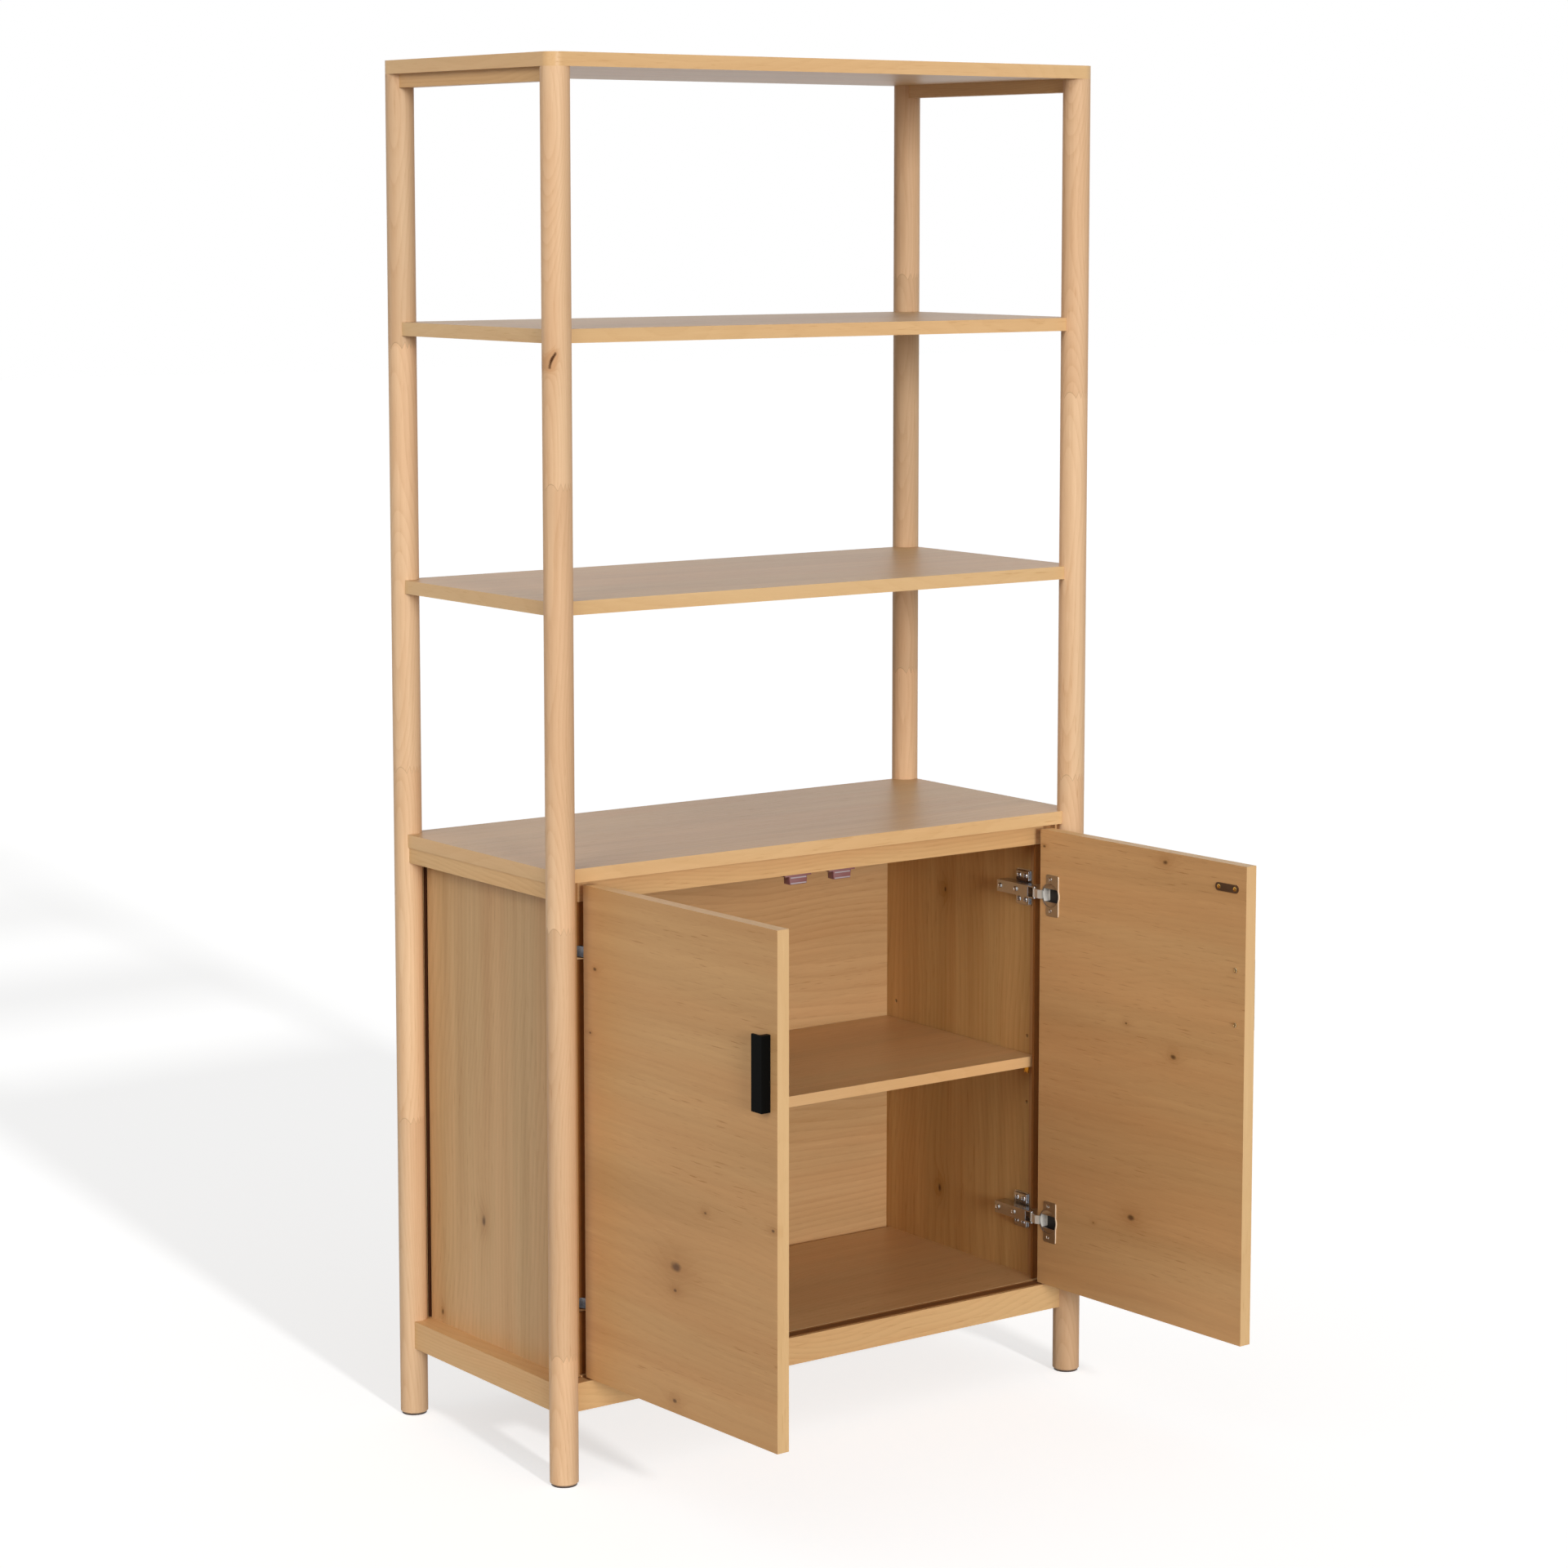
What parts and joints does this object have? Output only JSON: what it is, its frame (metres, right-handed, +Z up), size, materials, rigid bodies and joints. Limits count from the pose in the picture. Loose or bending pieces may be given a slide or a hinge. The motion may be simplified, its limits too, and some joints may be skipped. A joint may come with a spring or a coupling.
{
  "type": "bookcase",
  "caption": "Tall oak bookcase on round posts with open shelves above a cupboard with two hinged doors, an inner shelf, black pulls and magnetic catches.",
  "frame": {"origin": "on the floor, in the middle of the box that the bookcase fills with its doors open as at rest", "axes": "+Z up; the open front and the doors face -Y; +X is to the right of someone who stands in front of the bookcase and looks at it"},
  "size_m": [0.895, 0.8031, 1.85],
  "materials": {
    "solid_oak": "satin oil",
    "oak_board": "satin oil",
    "oak_door": "satin oil",
    "oak_panel": "satin oil",
    "beech_dowel": "plain",
    "glide_plastic": "matte",
    "black_metal": "satin black",
    "nickel_steel": "nickel plated",
    "brass": "polished",
    "catch_plastic": "matte",
    "magnet": "plain",
    "screw_steel": "zinc plated"
  },
  "bodies": {
    "carcass": {"back_panel": "oak_panel", "back_panel_screws": "screw_steel", "base_rail_back": "solid_oak", "base_rail_front": "solid_oak", "base_rail_left": "solid_oak", "base_rail_right": "solid_oak", "catch_left": "catch_plastic", "catch_magnets": "magnet", "catch_pole_plates": "nickel_steel", "catch_right": "catch_plastic", "catch_screws": "screw_steel", "deck_board": "oak_board", "deck_rail_back": "oak_panel", "deck_rail_front": "oak_panel", "deck_rail_left": "oak_panel", "deck_rail_right": "oak_panel", "floor_panel": "oak_board", "foot_glides": "glide_plastic", "frame_dowels": "beech_dowel", "hinge_arm_screws": "nickel_steel", "hinge_arms_left": "nickel_steel", "hinge_arms_right": "nickel_steel", "hinge_link_pins": "nickel_steel", "hinge_plate_screws": "nickel_steel", "hinge_plates_left": "nickel_steel", "hinge_plates_right": "nickel_steel", "inner_shelf": "oak_board", "panel_dowels": "beech_dowel", "post_back_left": "solid_oak", "post_back_right": "solid_oak", "post_front_left": "solid_oak", "post_front_right": "solid_oak", "shelf_dowels": "beech_dowel", "shelf_lower": "oak_board", "shelf_pins": "brass", "shelf_upper": "oak_board", "side_lipping_left": "solid_oak", "side_lipping_right": "solid_oak", "side_panel_left": "oak_panel", "side_panel_right": "oak_panel", "top_board": "oak_board", "top_rail_left": "solid_oak", "top_rail_right": "solid_oak"},
    "left_door": {"cup_screws_left": "screw_steel", "door_left": "oak_door", "handle_left": "black_metal", "handle_screws_left": "screw_steel", "hinge_cups_left": "nickel_steel", "strike_plate_left": "nickel_steel", "strike_screws_left": "brass"},
    "right_door": {"cup_screws_right": "screw_steel", "door_right": "oak_door", "handle_right": "black_metal", "handle_screws_right": "screw_steel", "hinge_cups_right": "nickel_steel", "strike_plate_right": "nickel_steel", "strike_screws_right": "brass"},
    "left_hinge_links": {"hinge_links_left": "nickel_steel"},
    "right_hinge_links": {"hinge_links_right": "nickel_steel"}
  },
  "joints": [
    {"name": "left_door_hinge", "type": "hinge", "parent": "carcass", "child": "left_door", "pos_m": [-0.39625, -0.0065, 0.46325], "axis": [0, 0, -1], "range_deg": [-87.9, 22.1]},
    {"name": "right_door_hinge", "type": "hinge", "parent": "carcass", "child": "right_door", "pos_m": [0.39625, -0.0065, 0.46325], "axis": [0, 0, 1], "range_deg": [-92.3, 17.7]},
    {"name": "left_link_pivot", "type": "hinge", "parent": "carcass", "child": "left_hinge_links", "pos_m": [-0.373, 0.01425, 0.46325], "axis": [0, 0, -1], "range_deg": [-20, 78]},
    {"name": "right_link_pivot", "type": "hinge", "parent": "carcass", "child": "right_hinge_links", "pos_m": [0.373, 0.01425, 0.46325], "axis": [0, 0, 1], "range_deg": [-16, 82]}
  ],
  "couplings": [
    {"joint": "left_link_pivot", "follows": "left_door_hinge", "ratio": -0.88},
    {"joint": "right_link_pivot", "follows": "right_door_hinge", "ratio": -0.88}
  ]
}
